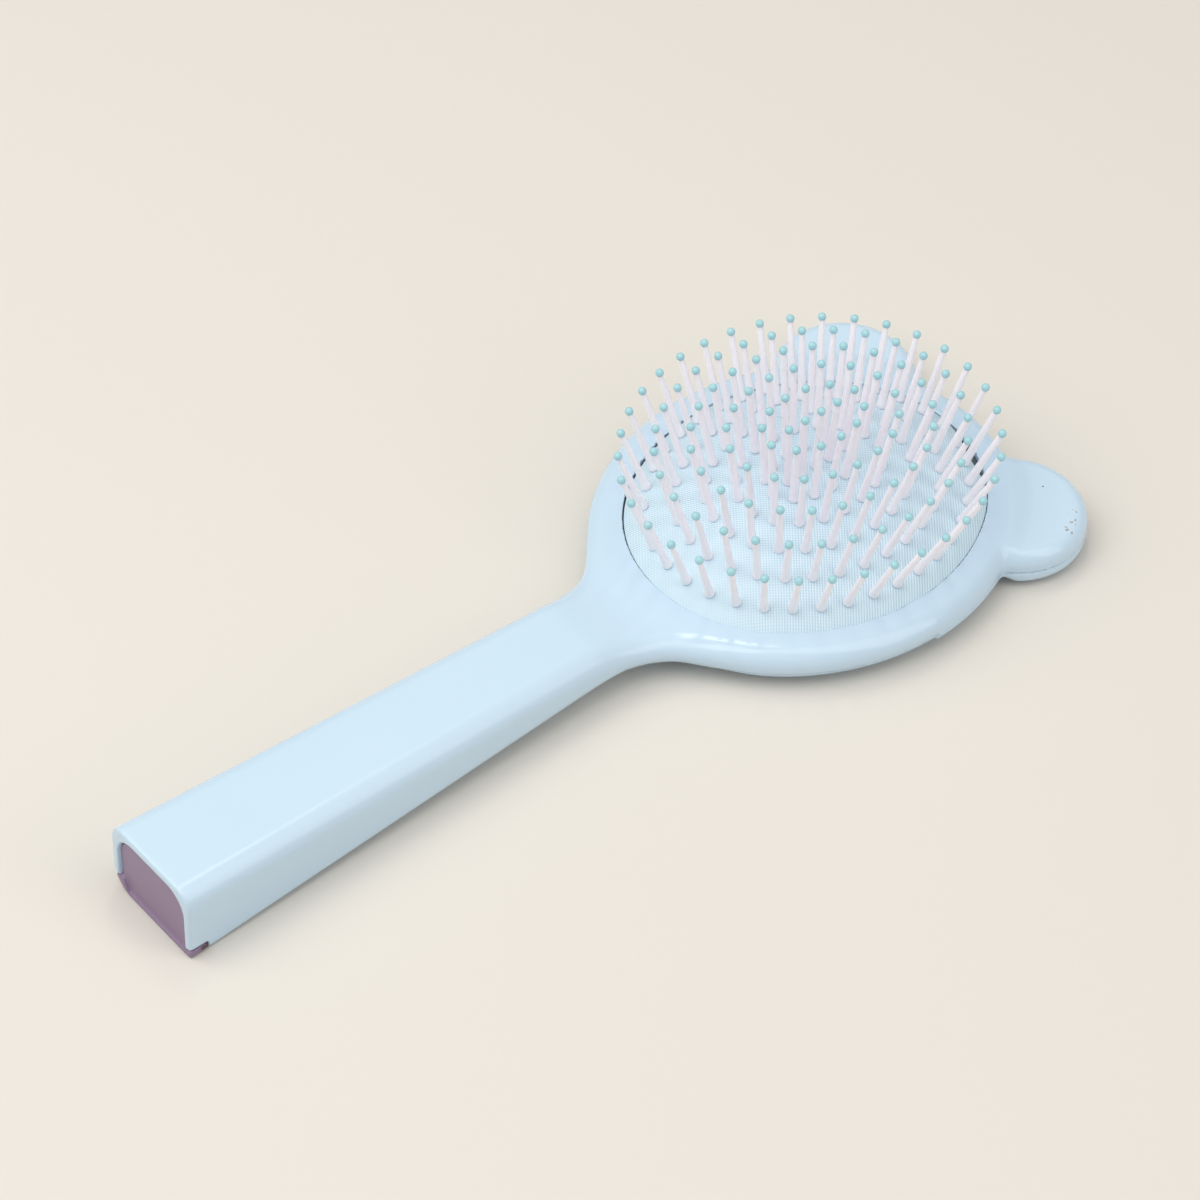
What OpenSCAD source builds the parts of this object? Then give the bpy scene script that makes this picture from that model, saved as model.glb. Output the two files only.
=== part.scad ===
// Oval cushion hair brush with two round ears, lying on its back with the pins up.
// The head is an oval ring of constant section that carries a domed rubber cushion in front and a
// round mirror behind. A hollow handle, closed by a plug, runs from it towards -X.
// Millimetres, +Z up, +X from the handle to the head, origin on the table under the middle.

/* [Head] */
// Half length of the cushion opening, along the handle
open_a = 39.7; // [38:0.1:43]
// Half width of the cushion opening
open_b = 34.4; // [32:0.1:36.5]
// Width of the rim around the opening
rim_w = 6.95; // [6.7:0.05:9]
// Height of the front face of the rim above the table
rim_top = 10.3; // [9.6:0.1:12]
// Height of the rim's rear edge above the table
rim_back = 2.5; // [2.4:0.1:3.2]
// Rounding of the rim's front outer edge
rim_round_front = 4.4; // [2.5:0.1:4.6]
// Rounding of the rim's rear outer edge
rim_round_back = 3.3; // [2:0.1:3.5]
// Height of the joint between the front frame and the back cover
parting_z = 4.6; // [4.4:0.1:5.2]
// Thickness of the lip that holds the cushion down
lip_t = 1.6; // [1.2:0.1:2]
// Rounding of the lip's inner edge
lip_round = 0.5; // [0.3:0.1:0.8]
// Width of the ledge under the lip
ledge_w = 2.6; // [2.2:0.1:3]
// Wall of the ring and of the ears
head_wall = 1.5; // [1.2:0.1:1.8]
// Wall over the groove in the frame
groove_roof = 2.1; // [1.6:0.1:2.6]
// Gap between the cover's tongue and the walls of the groove
tongue_gap = 0.12; // [0.08:0.01:0.2]
// Gap over the end of the tongue
tongue_end_gap = 0.6; // [0.3:0.1:1]
// Gap round the cover where the handle passes it
cover_gap = 0.08; // [0.05:0.01:0.15]

/* [Ears] */
// Radius of an ear
ear_r = 15.4; // [13:0.1:18]
// Distance of an ear's centre from the middle of the head
ear_reach = 43.5; // [41:0.1:46]
// Angle of an ear's centre from the long axis
ear_angle = 37.3; // [33:0.1:42]
// Height of the ear's front face above the table
ear_top = 9.4; // [8.8:0.1:10]
// Height of the ear's rear face above the table
ear_back = 1.6; // [1.2:0.1:2.6]
// Rounding of the ear's edges
ear_round = 2.4; // [1.5:0.1:2.6]
// Radius of the locating post inside an ear
ear_post_r = 1.6; // [1.2:0.1:2.2]
// Distance of the locating post from the ear's centre
ear_post_out = 7.5; // [6.5:0.5:9]
// Gap between a post and its socket
post_gap = 0.1; // [0.05:0.05:0.2]
// Gap over the end of a post
post_end_gap = 0.8; // [0.4:0.1:1.2]

/* [Handle] */
// Length from the middle of the head to the end of the handle
handle_reach = 166; // [150:1:185]
// Half width of the handle at its end
end_half_w = 12.5; // [11:0.1:14]
// Thickness of the handle at its end
end_h = 17.6; // [15:0.1:20]
// Half width of the handle at the neck
neck_half_w = 10.2; // [8.5:0.1:11]
// Thickness of the handle at the neck
neck_h = 9.5; // [8.5:0.1:10.5]
// Rounding of the front edges at the handle's end
end_round = 4; // [2.5:0.1:5]
// Rounding of the front edges at the neck
neck_round = 4.6; // [3:0.1:5]
// Rounding of the rear edges at the handle's end
rear_round_end = 0.9; // [0.6:0.1:2]
// Rounding of the rear edges at the neck
rear_round_neck = 4.2; // [2:0.1:4.4]
// Radius of the fillet between the handle and the head
neck_fillet = 14; // [6:0.5:16]
// Distance before the fillet at which the faces begin to turn into the ring
neck_turn = 8; // [4:1:14]
// Wall of the handle
handle_wall = 2; // [1.6:0.1:2.4]
// Length of the hollow in the handle
hollow_len = 100; // [80:1:108]
// Rounding of the front corners of the hollow
hollow_round = 5; // [2:0.5:6]
// Depth of the plug's face inside the handle's end
plug_inset = 1; // [0.5:0.1:2]
// Height of the plug's heel, which closes the rear face at the end
heel_h = 0.9; // [0.6:0.1:1.4]
// Length of the plug's heel
heel_len = 4.5; // [3:0.5:10]
// Thickness of the plug's face
plug_t = 1.6; // [1.2:0.1:2.4]
// Thickness of the plug's skirt
plug_wall = 1.2; // [0.8:0.1:1.8]
// Depth of the plug's skirt
plug_skirt = 7; // [4:0.5:12]
// Gap between the plug and the handle
plug_gap = 0.12; // [0.05:0.01:0.3]

/* [Cushion] */
// Height of the crown above the front face of the rim
dome_h = 9.2; // [7:0.1:11]
// Thickness of the rubber
rubber_t = 1.2; // [0.9:0.1:1.5]
// Height of the rubber where it turns down to its clamped edge
rubber_edge_t = 1.5; // [1.3:0.1:1.8]
// Thickness of the clamped edge of the rubber
flange_t = 1.4; // [1:0.1:1.8]
// Width of the band in which the rubber dips under the lip
tuck_w = 2.6; // [2:0.1:4]
// Depth of that dip below the front face of the rim
tuck_dip = 1; // [0.4:0.1:1.4]
// Gap between the rubber and the lip's inner edge
cushion_gap = 0.25; // [0.2:0.05:0.6]
// Gap between the rubber's edge and the ledge
flange_gap = 0.1; // [0.05:0.05:0.3]
// Clearance between the rubber and a pin
pin_hole_gap = 0.15; // [0.1:0.01:0.25]

/* [Pins] */
// Number of pins in each ring, from the outermost inwards
ring_pins = [36, 30, 24, 18, 12];
// Place of each ring's first pin, as a share of its pitch
ring_phase = [0.6, 0.47, 0.36, 0.29, 0.16];
// Number of pins in the middle row
row_pins = 4; // [2:1:6]
// Distance from the opening's edge to the outermost ring
ring_inset = 4.15; // [3.9:0.05:5]
// Distance from ring to ring, across the head
ring_pitch_y = 6; // [5.7:0.05:6.05]
// Distance from ring to ring, along the head
ring_pitch_x = 6.3; // [6:0.05:6.5]
// Distance from pin to pin in the middle row
row_pitch = 3.75; // [3.2:0.05:4.5]
// Distance below the rubber at which the pins' axes meet, seen from the side
fan_x = 94; // [70:1:130]
// Distance below the rubber at which the pins' axes meet, seen from the end
fan_y = 69; // [60:1:100]
// Length of a pin from the rubber to the middle of its ball tip
pin_len = 15.8; // [13:0.1:18]
// Radius of the shaft at its foot
foot_r = 1.05; // [0.9:0.05:1.2]
// Rounding of the shaft's foot
foot_round = 0.35; // [0.1:0.05:0.5]
// Radius of the shaft where its foot ends
knee_r = 0.95; // [0.8:0.05:1.1]
// Height of the foot
knee_h = 3; // [1.5:0.5:5]
// Radius of the shaft below the ball tip
shaft_tip_r = 0.62; // [0.5:0.01:0.7]
// Radius of a ball tip
ball_r = 1; // [0.85:0.05:1.2]
// Radius of the spigot that holds a ball tip
spigot_r = 0.4; // [0.3:0.01:0.45]
// Depth of a ball tip's socket below its middle
socket_depth = 0.7; // [0.5:0.05:0.8]
// Clearance round the shaft's end in the socket
socket_gap = 0.2; // [0.1:0.05:0.25]
// Radius of the pin's neck inside the rubber
pin_neck_r = 0.75; // [0.6:0.05:0.85]
// Radius of the pin's head under the rubber
pin_head_r = 1.7; // [1.3:0.1:2]
// Thickness of the pin's head under the rubber
pin_head_t = 0.7; // [0.5:0.1:1]
// Gap that the rubber leaves over the pin's head and under its foot
pin_seat_gap = 0.47; // [0.4:0.01:0.6]

/* [Back] */
// Radius of the mirror
mirror_r = 30.6; // [27:0.1:31]
// Thickness of the mirror
mirror_t = 1.5; // [1.2:0.1:1.7]
// Bevel of the mirror's edge
mirror_bevel = 0.3; // [0.2:0.1:0.5]
// Thickness of the adhesive pad behind the mirror
tape_t = 0.3; // [0.2:0.05:0.4]
// Width of the mirror's edge that the pad leaves free
tape_margin = 2; // [1:0.5:6]
// Gap between the mirror and its bezel
mirror_gap = 0.35; // [0.2:0.05:0.6]
// Width of the bezel around the mirror
bezel_w = 2.6; // [2:0.1:3]
// Rounding of the bezel's outer edge
bezel_round = 1.1; // [0.6:0.1:1.4]
// Thickness of the back cover's floor
floor_t = 1.6; // [1.2:0.1:1.8]

/* [Cushion base] */
// Thickness of the cushion base plate
base_t = 1.5; // [1.2:0.1:1.7]
// Gap between the base plate and the ring
base_gap = 0.25; // [0.15:0.05:0.4]
// Number of screws
screw_n = 6; // [4:1:8]
// Radius of the circle on which the screws stand
screw_circle_r = 24; // [20:0.5:26]
// Radius of a screw's shank
screw_r = 1.15; // [0.9:0.05:1.3]
// Radius of a screw's head
screw_head_r = 2.2; // [1.8:0.1:2.4]
// Length of a screw
screw_len = 5; // [4.2:0.1:5.2]
// Depth of a boss's bore beyond the screw's tip
bore_spare = 0.6; // [0.3:0.1:0.9]
// Width of the cross recess in a screw's head
recess_w = 0.5; // [0.4:0.1:0.7]
// Depth of the cross recess
recess_depth = 0.7; // [0.5:0.1:0.9]
// Gap around a screw's shank in the cover
screw_gap = 0.15; // [0.1:0.05:0.3]
// Outer radius of a screw boss
boss_r = 2.7; // [2.4:0.1:3.2]
// Height of a boss above the plate
boss_rise = 1.4; // [1:0.1:1.6]
// Height of the ribs under the base plate
rib_h = 0.8; // [0.5:0.1:0.9]
// Thickness of a rib
rib_t = 1.2; // [0.9:0.1:1.6]
// Radius of the air vent in the base plate
vent_r = 1; // [0.6:0.1:1.5]

/* [Hidden] */

aqua = "#D3EAF7";
mauve = "#927F92";
pin_white = "#EDE8F1";
tip_aqua = "#A9DDDB";
rubber_aqua = "#C8DFEA";

tiny = 0.01;
overlap = 0.3;
least_flat = 0.1;
least_r = 0.05;
far = 100;
smooth = 96;

// The oval is made of four tangent arcs, so every offset of it is again four arcs. The line from
// a side arc's centre through an end arc's centre rises 4 in 3, and the arcs meet on it.
along = 0.6;
across = 0.8;
centre_step = (open_a - open_b) / (along + across - 1);
end_x = along * centre_step;
side_y = across * centre_step;
end_r = open_a - end_x;
side_r = end_r + centre_step;

// The head stands so far along +X that the origin is under the middle of the whole brush.
ear_x = ear_reach * cos(ear_angle);
ear_y = ear_reach * sin(ear_angle);
front_x = max(open_a + rim_w, ear_x + ear_r);
head_x = (handle_reach - front_x) / 2;

belt_z = rim_back + rim_round_back;
front_round = min(rim_round_front, rim_top - belt_z - least_flat);
lip_under = rim_top - lip_t;
flange_z = lip_under - flange_t;
base_z = flange_z - base_t;
floor_z = rim_back + floor_t;
mirror_z = rim_back - tape_t - mirror_t;
groove_in = ledge_w + head_wall;
groove_out = rim_w - head_wall;
groove_top = rim_top - groove_roof;
ring_count = len(ring_pins);
neck_mid_z = end_h / 2;
boss_top = base_z + base_t + boss_rise;
silver = "#B9BCC0";

// Equal steps along an ellipse, found from the running length of its outline.
function ellipse_run(a, b, steps = 90) =
    let (step = 360 / steps,
         d = [for (i = [0 : steps - 1])
              norm([a * (cos((i + 1) * step) - cos(i * step)),
                    b * (sin((i + 1) * step) - sin(i * step))])])
    [for (i = 0, s = 0; i <= steps; s = s + (i < steps ? d[i] : 0), i = i + 1) [s, i * step]];
function ellipse_spots(a, b, n, phase) =
    let (run = ellipse_run(a, b), total = run[len(run) - 1][0])
    [for (i = [0 : n - 1])
     let (t = lookup(total * (i + phase) / n, run)) [a * cos(t), b * sin(t)]];

// Height of the rubber's outer face at a distance in from the opening's edge.
function dome_z(inset) =
    rim_top + dome_h * (1 - pow(1 - inset / open_b, 2)) - tuck_dip * pow(max(0, 1 - inset / tuck_w), 2);

function ring_in(k) = ring_inset + k * ring_pitch_y;
function ring_a(k) = open_a - ring_inset - k * ring_pitch_x;
function ring_b(k) = open_b - ring_in(k);
function ring_spots(k) = ellipse_spots(ring_a(k), ring_b(k), ring_pins[k], ring_phase[k]);
row_spots = [for (i = [0 : row_pins - 1]) [(i - (row_pins - 1) / 2) * row_pitch, 0]];
dome_in = end_r - least_r;
function ring_z(k) = dome_z(ring_in(k));
row_z = dome_z(dome_in);

// A pin's frame: its foot on the rubber, its axis along the fan.
module at_pin(spot, z) {
    lean = [spot[0] / fan_x, spot[1] / fan_y];
    translate([head_x + spot[0], spot[1], z])
        rotate([0, 0, atan2(lean[1], lean[0])])
        rotate([0, atan(norm(lean)), 0])
        children();
}

module oval2d(offset_out) {
    join_x = end_x + along * (end_r + offset_out);
    for (side = [-1, 1])
        translate([side * end_x, 0])
            circle(r = end_r + offset_out, $fn = smooth);
    intersection() {
        translate([0, -side_y])
            circle(r = side_r + offset_out, $fn = smooth);
        translate([0, side_y])
            circle(r = side_r + offset_out, $fn = smooth);
        square([2 * join_x, 2 * far], center = true);
    }
}

// Sweeps a section round the oval: x is the distance out from the opening's edge, y the height.
module oval_sweep() {
    for (side = [-1, 1]) {
        intersection() {
            translate([side * end_x, 0, 0])
                rotate_extrude($fn = smooth)
                translate([end_r, 0])
                children();
            wedge([[side * end_x, 0], [side * (end_x + along * far), across * far],
                   [side * (end_x + along * far), -across * far]]);
        }
        intersection() {
            translate([0, -side * side_y, 0])
                rotate_extrude($fn = smooth)
                translate([side_r, 0])
                children();
            wedge([[0, -side * side_y], [along * far, side * (across * far - side_y)],
                   [-along * far, side * (across * far - side_y)]]);
        }
    }
}

module wedge(outline) {
    translate([0, 0, -far])
        linear_extrude(2 * far)
        polygon(outline);
}

// Outline of the whole rim's section, front and back together.
module rim_outline2d() {
    translate([0, rim_back])
        square([rim_w - rim_round_back, rim_top - lip_round - rim_back]);
    translate([lip_round, rim_top - 2 * lip_round])
        square([rim_w - front_round - lip_round, 2 * lip_round]);
    translate([lip_round, rim_top - lip_round])
        circle(r = lip_round, $fn = 48);
    translate([0, belt_z])
        square([rim_w, rim_top - front_round - belt_z]);
    translate([rim_w - rim_round_back, belt_z])
        circle(r = rim_round_back, $fn = 64);
    translate([rim_w - front_round, rim_top - front_round])
        circle(r = front_round, $fn = 64);
}

// A whole ear, with both its edges rounded.
module ear_solid() {
    edge_r = ear_r - ear_round;
    rotate_extrude($fn = smooth) {
        translate([0, ear_back])
            square([edge_r, ear_top - ear_back]);
        translate([0, ear_back + ear_round])
            square([ear_r, ear_top - ear_back - 2 * ear_round]);
        for (z = [ear_back + ear_round, ear_top - ear_round])
            translate([edge_r, z])
                circle(r = ear_round, $fn = 48);
    }
}

module at_ears() {
    for (side = [-1, 1])
        translate([ear_x, side * ear_y, 0])
            children();
}

module at_posts() {
    for (side = [-1, 1])
        rotate([0, 0, side * ear_angle])
            translate([ear_reach + ear_post_out, 0, 0])
            children();
}

// Handle and neck: one loft through rounded sections. The side line is straight to the neck, then
// follows a fillet arc that meets the head's outline.
corner_steps = 6;
fillet_steps = 8;
fillet_y = neck_half_w + neck_fillet;
fillet_x = -end_x - sqrt(pow(end_r + rim_w + neck_fillet, 2) - pow(fillet_y, 2));
fillet_turn = acos(fillet_y / (end_r + rim_w + neck_fillet));
neck_end_x = -open_a - ledge_w;

function mix(a, b, t) = a + (b - a) * t;
function ease(t) = t * t * (3 - 2 * t);
function handle_part(x) = (x + handle_reach) / (fillet_x + handle_reach);
function neck_part(x) = max(0, min(1, (x - fillet_x + neck_turn) / (neck_end_x - fillet_x + neck_turn)));
function top_z(x) =
    mix(mix(end_h, neck_mid_z + neck_h / 2, handle_part(x)), rim_top, ease(neck_part(x)));
function low_z(x) =
    mix(mix(0, neck_mid_z - neck_h / 2, handle_part(x)), parting_z, ease(neck_part(x)));
function side_w(x) = mix(end_half_w, neck_half_w, handle_part(x));
function front_edge(x) = mix(end_round, neck_round, min(1, handle_part(x)));
function rear_edge(x) = mix(rear_round_end, rear_round_neck, min(1, handle_part(x)));

function rounded_section(w, low, high, r_front, r_rear) =
    [for (corner = [[w - r_rear, low + r_rear, r_rear, -90], [w - r_front, high - r_front, r_front, 0],
                    [r_front - w, high - r_front, r_front, 90], [r_rear - w, low + r_rear, r_rear, 180]])
     for (i = [0 : corner_steps])
     let (a = corner[3] + 90 * i / corner_steps)
     [corner[0] + corner[2] * cos(a), corner[1] + corner[2] * sin(a)]];

module loft(stations) {
    rings = [for (s = stations) [for (p = s[1]) [s[0], p[0], p[1]]]];
    n = len(rings[0]);
    m = len(rings);
    points = [for (r = rings) for (p = r) p];
    walls = [for (k = [0 : m - 2]) for (i = [0 : n - 1])
             let (j = (i + 1) % n)
             each [[k * n + i, k * n + j, (k + 1) * n + j], [k * n + i, (k + 1) * n + j, (k + 1) * n + i]]];
    ends = [[for (i = [n - 1 : -1 : 0]) i], [for (i = [0 : n - 1]) (m - 1) * n + i]];
    faces = [for (f = concat(walls, ends)) [f[0], for (i = [len(f) - 1 : -1 : 1]) f[i]]];
    polyhedron(points = points, faces = faces, convexity = 4);
}

function outer_station(x, w) =
    let (half = (top_z(x) - low_z(x)) / 2 - least_flat)
    [x, rounded_section(w, low_z(x), top_z(x), min(front_edge(x), half), min(rear_edge(x), half))];

module handle_outer() {
    straight = [for (i = [0 : 4]) mix(-handle_reach, fillet_x, i / 4)];
    turns = [for (i = [1 : fillet_steps]) fillet_turn * i / fillet_steps];
    last_x = fillet_x + neck_fillet * sin(fillet_turn);
    last_w = fillet_y - neck_fillet * cos(fillet_turn);
    loft(concat(
        [for (x = straight) outer_station(x, side_w(x))],
        [for (t = turns) outer_station(fillet_x + neck_fillet * sin(t), fillet_y - neck_fillet * cos(t))],
        [outer_station(last_x + ledge_w, last_w)]));
}

// Section at one distance inside the handle's faces and another above its rear face.
function hollow_section(x, inset, sill) =
    let (w = side_w(x) - inset, low = low_z(x) + sill, high = top_z(x) - inset,
         half = (high - low) / 2 - least_flat)
    rounded_section(w, low, high, min(half, hollow_round - inset + handle_wall),
                    min(half, max(0.5, rear_edge(x) - inset / 2)));

module handle_hollow() {
    start = -handle_reach - 1;
    stop = -handle_reach + hollow_len;
    seat = -handle_reach + plug_inset + plug_t;
    loft([for (x = [start, -handle_reach, mix(start, stop, 0.5), stop])
          [x, hollow_section(x, handle_wall, handle_wall)]]);
    loft([for (x = [start, seat]) [x, hollow_section(x, handle_wall, heel_h - overlap)]]);
    translate([-handle_reach - 1, -far, -1])
        cube([heel_len + 1, 2 * far, heel_h + 1]);
}

// Room that the back cover takes up under the frame.
module cover_room(gap) {
    translate([0, 0, -1])
        linear_extrude(parting_z + 1)
        oval2d(rim_w + gap);
    at_ears()
        translate([0, 0, -1])
        cylinder(r = ear_r + gap, h = parting_z + 1, $fn = smooth);
}

// The ring and both ears, front and back together.
module head_outer() {
    oval_sweep()
        rim_outline2d();
    at_ears()
        ear_solid();
}

module front_frame() {
    socket_h = ear_top - head_wall - parting_z;
    color(aqua)
        translate([head_x, 0, 0])
        difference() {
            union() {
                intersection() {
                    head_outer();
                    translate([-far, -far, parting_z])
                        cube([2 * far, 2 * far, far]);
                }
                handle_outer();
            }
            // Opening for the cushion, and the ledge under the lip
            translate([0, 0, -1])
                linear_extrude(far)
                oval2d(0);
            translate([0, 0, -1])
                linear_extrude(lip_under + 1)
                oval2d(ledge_w);
            // Groove that keeps the rim's walls even
            oval_sweep()
                translate([groove_in, -1])
                square([groove_out - groove_in, groove_top + 1]);
            ear_hollows(parting_z - 1, ear_top - head_wall);
            cover_room(cover_gap);
            handle_hollow();
        }
    // Sockets for the cover's locating posts
    color(aqua)
        translate([head_x, 0, 0])
        at_posts()
        difference() {
            translate([0, 0, parting_z])
                cylinder(r = ear_post_r + head_wall, h = socket_h + overlap, $fn = 48);
            translate([0, 0, parting_z - 1])
                cylinder(r = ear_post_r + post_gap, h = socket_h + 1, $fn = 48);
        }
}

// The hollow of an ear stops short of the ring's outer wall.
module ear_hollows(z_low, z_high) {
    difference() {
        at_ears()
            translate([0, 0, z_low])
            cylinder(r = ear_r - head_wall, h = z_high - z_low, $fn = smooth);
        translate([0, 0, z_low - 1])
            linear_extrude(z_high - z_low + 2)
            oval2d(rim_w);
    }
}

module back_cover() {
    bezel_in = mirror_r + mirror_gap;
    bezel_out = bezel_in + bezel_w;
    tongue_in = groove_in + tongue_gap;
    tongue_out = groove_out - tongue_gap;
    post_z = ear_back + head_wall - overlap;
    color(aqua)
        translate([head_x, 0, 0])
        difference() {
            union() {
                difference() {
                    intersection() {
                        head_outer();
                        translate([-far, -far, 0])
                            cube([2 * far, 2 * far, parting_z]);
                    }
                    // The ears leave the mirror's recess free
                    translate([0, 0, -1])
                        cylinder(r = bezel_in + bezel_w / 2, h = rim_back + 1, $fn = smooth);
                }
                cover_floor();
                // Bezel round the mirror, on which the head rests
                rotate_extrude($fn = smooth) {
                    translate([bezel_in, 0])
                        square([bezel_w - bezel_round, rim_back + tiny]);
                    translate([bezel_in, bezel_round])
                        square([bezel_w, rim_back + tiny - bezel_round]);
                    translate([bezel_out - bezel_round, bezel_round])
                        circle(r = bezel_round, $fn = 48);
                }
            }
            translate([0, 0, floor_z])
                linear_extrude(far)
                oval2d(tongue_out);
            ear_hollows(ear_back + head_wall, parting_z + 1);
            at_screws() {
                cylinder(r = screw_r + screw_gap, h = far, $fn = 32);
                screw_sink(screw_gap);
            }
        }
    // Tongue that enters the frame's groove, and posts that locate the ears
    color(aqua)
        translate([head_x, 0, 0]) {
            oval_sweep()
                translate([tongue_in, floor_z - overlap])
                square([tongue_out - tongue_in, groove_top - tongue_end_gap - floor_z + overlap]);
            at_posts()
                translate([0, 0, post_z])
                cylinder(r = ear_post_r, h = ear_top - head_wall - post_end_gap - post_z, $fn = 48);
        }
}

module cover_floor() {
    translate([0, 0, rim_back])
        linear_extrude(floor_t)
        oval2d(overlap);
}

module at_screws() {
    for (i = [0 : screw_n - 1])
        rotate([0, 0, 360 * (i + 0.5) / screw_n])
            translate([screw_circle_r, 0, 0])
            children();
}

// Countersink of a screw's head, flush with the floor's rear face.
module screw_sink(gap) {
    depth = screw_head_r - screw_r;
    translate([0, 0, rim_back - tiny])
        cylinder(r1 = screw_head_r + gap, r2 = screw_r + gap, h = depth, $fn = 48);
}

module mirror() {
    color("#C9D2D6")
        translate([head_x, 0, mirror_z])
        rotate_extrude($fn = smooth)
        polygon([[0, 0], [mirror_r - mirror_bevel, 0], [mirror_r, mirror_bevel], [mirror_r, mirror_t],
                 [0, mirror_t]]);
}

module mirror_tape() {
    color("#E9E6DD")
        translate([head_x, 0, rim_back - tape_t])
        cylinder(r = mirror_r - tape_margin, h = tape_t, $fn = smooth);
}

module cover_screws() {
    recess_span = 2 * screw_r;
    color(silver)
        translate([head_x, 0, 0])
        at_screws()
        difference() {
            union() {
                translate([0, 0, rim_back])
                    cylinder(r1 = screw_head_r, r2 = screw_r, h = screw_head_r - screw_r, $fn = 48);
                translate([0, 0, rim_back + tiny])
                    cylinder(r = screw_r, h = screw_len, $fn = 32);
            }
            // Cross recess in the head
            for (turn = [0, 90])
                rotate([0, 0, turn])
                    translate([-recess_span / 2, -recess_w / 2, rim_back - 1])
                    cube([recess_span, recess_w, recess_depth + 1]);
        }
}

module cushion_base() {
    base_out = ledge_w - base_gap;
    bore_top = rim_back + screw_len + bore_spare;
    rib_in = 3 * vent_r;
    color("#DDE6EA")
        translate([head_x, 0, 0])
        difference() {
            union() {
                translate([0, 0, base_z])
                    linear_extrude(base_t)
                    oval2d(base_out);
                at_screws()
                    translate([0, 0, floor_z])
                    cylinder(r = boss_r, h = boss_top - floor_z, $fn = 48);
                // Ribs under the plate, from the vent to the bosses
                at_screws()
                    translate([rib_in - screw_circle_r, -rib_t / 2, base_z - rib_h])
                    cube([screw_circle_r - rib_in, rib_t, rib_h + tiny]);
            }
            at_screws()
                translate([0, 0, floor_z - 1])
                cylinder(r = screw_r, h = bore_top - floor_z + 1, $fn = 32);
            translate([0, 0, base_z - 1])
                cylinder(r = vent_r, h = base_t + 2, $fn = 32);
        }
}

// The plug's face stands inside the handle's end and its skirt fits the hollow behind. The heel
// takes the place of the rear wall at the very end.
module handle_plug() {
    face_x = -handle_reach + plug_inset;
    skirt_x = face_x + plug_skirt;
    heel_x = -handle_reach + heel_len - plug_gap;
    outer = handle_wall + plug_gap;
    inner = outer + plug_wall;
    color(mauve)
        translate([head_x, 0, 0])
        difference() {
            union() {
                loft([for (x = [face_x, face_x + plug_t - plug_gap])
                      [x, hollow_section(x, outer, heel_h - overlap)]]);
                loft([for (x = [face_x + plug_t / 2, skirt_x]) [x, hollow_section(x, outer, outer)]]);
                intersection() {
                    loft([for (x = [-handle_reach, heel_x]) outer_station(x, side_w(x))]);
                    translate([-handle_reach - 1, -far, -1])
                        cube([far, 2 * far, heel_h - plug_gap + 1]);
                }
            }
            loft([for (x = [face_x + plug_t, skirt_x + 1]) [x, hollow_section(x, inner, inner)]]);
        }
}

// Rubber cushion: a thin dome with a flat edge that is clamped under the lip. The dome is swept
// round the oval, and a lens of the same thickness closes the crown.
dome_steps = 7;
dome_insets = [for (i = [0 : dome_steps]) mix(tuck_w, dome_in, i / dome_steps)];
tuck_insets = [for (i = [0 : 2]) mix(cushion_gap, tuck_w, i / 3)];
chamber_edge = cushion_gap + rubber_t;

module cushion_section2d() {
    polygon(concat(
        [[ledge_w - flange_gap, flange_z], [ledge_w - flange_gap, lip_under], [-cushion_gap, lip_under]],
        [for (d = tuck_insets) [-d, dome_z(d)]],
        [for (d = dome_insets) [-d, dome_z(d)]],
        [for (i = [dome_steps : -1 : 0]) [-dome_insets[i], dome_z(dome_insets[i]) - rubber_t]],
        [[-chamber_edge, dome_z(chamber_edge) - rubber_edge_t], [-chamber_edge, flange_z]]));
}

module cushion() {
    crown_r = side_r - end_r + overlap;
    crown_z = dome_z(dome_in);
    color(rubber_aqua)
        translate([head_x, 0, 0])
        difference() {
            union() {
                oval_sweep()
                    cushion_section2d();
                intersection() {
                    translate([0, -side_y, crown_z - rubber_t])
                        cylinder(r = crown_r, h = rubber_t, $fn = smooth);
                    translate([0, side_y, crown_z - rubber_t])
                        cylinder(r = crown_r, h = rubber_t, $fn = smooth);
                    translate([-end_x - overlap, -far, 0])
                        cube([2 * (end_x + overlap), 2 * far, far]);
                }
            }
            for (k = [0 : ring_count - 1])
                for (spot = ring_spots(k))
                    pin_hole(spot, ring_z(k));
            for (spot = row_spots)
                pin_hole(spot, row_z);
        }
}

module pin_hole(spot, z) {
    translate([-head_x, 0, 0])
        at_pin(spot, z)
        translate([0, 0, -rubber_t - 1])
        cylinder(r = pin_neck_r + pin_hole_gap, h = rubber_t + 2, $fn = 24);
}

// One pin: a head under the rubber, a neck through it, and a tapered shaft with a spigot at its end.
module pin() {
    head_z = -rubber_t - pin_seat_gap;
    shaft_end = pin_len - socket_depth;
    rotate_extrude($fn = 24) {
        polygon([[0, head_z - pin_head_t], [pin_head_r, head_z - pin_head_t], [pin_head_r, head_z],
                 [pin_neck_r, head_z], [pin_neck_r, pin_seat_gap], [foot_r - foot_round, pin_seat_gap],
                 [foot_r, pin_seat_gap + foot_round], [knee_r, pin_seat_gap + knee_h],
                 [shaft_tip_r, shaft_end], [spigot_r, shaft_end], [spigot_r, pin_len], [0, pin_len]]);
    }
}

// One ball tip, with the socket that holds the end of the shaft.
module tip() {
    difference() {
        translate([0, 0, pin_len])
            sphere(r = ball_r, $fn = 32);
        translate([0, 0, pin_len - socket_depth - ball_r])
            cylinder(r = shaft_tip_r + socket_gap, h = ball_r, $fn = 24);
        translate([0, 0, pin_len - ball_r])
            cylinder(r = spigot_r, h = ball_r, $fn = 24);
    }
}

module pins_at(spots, z) {
    color(pin_white)
        for (spot = spots)
            at_pin(spot, z)
                pin();
}

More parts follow.
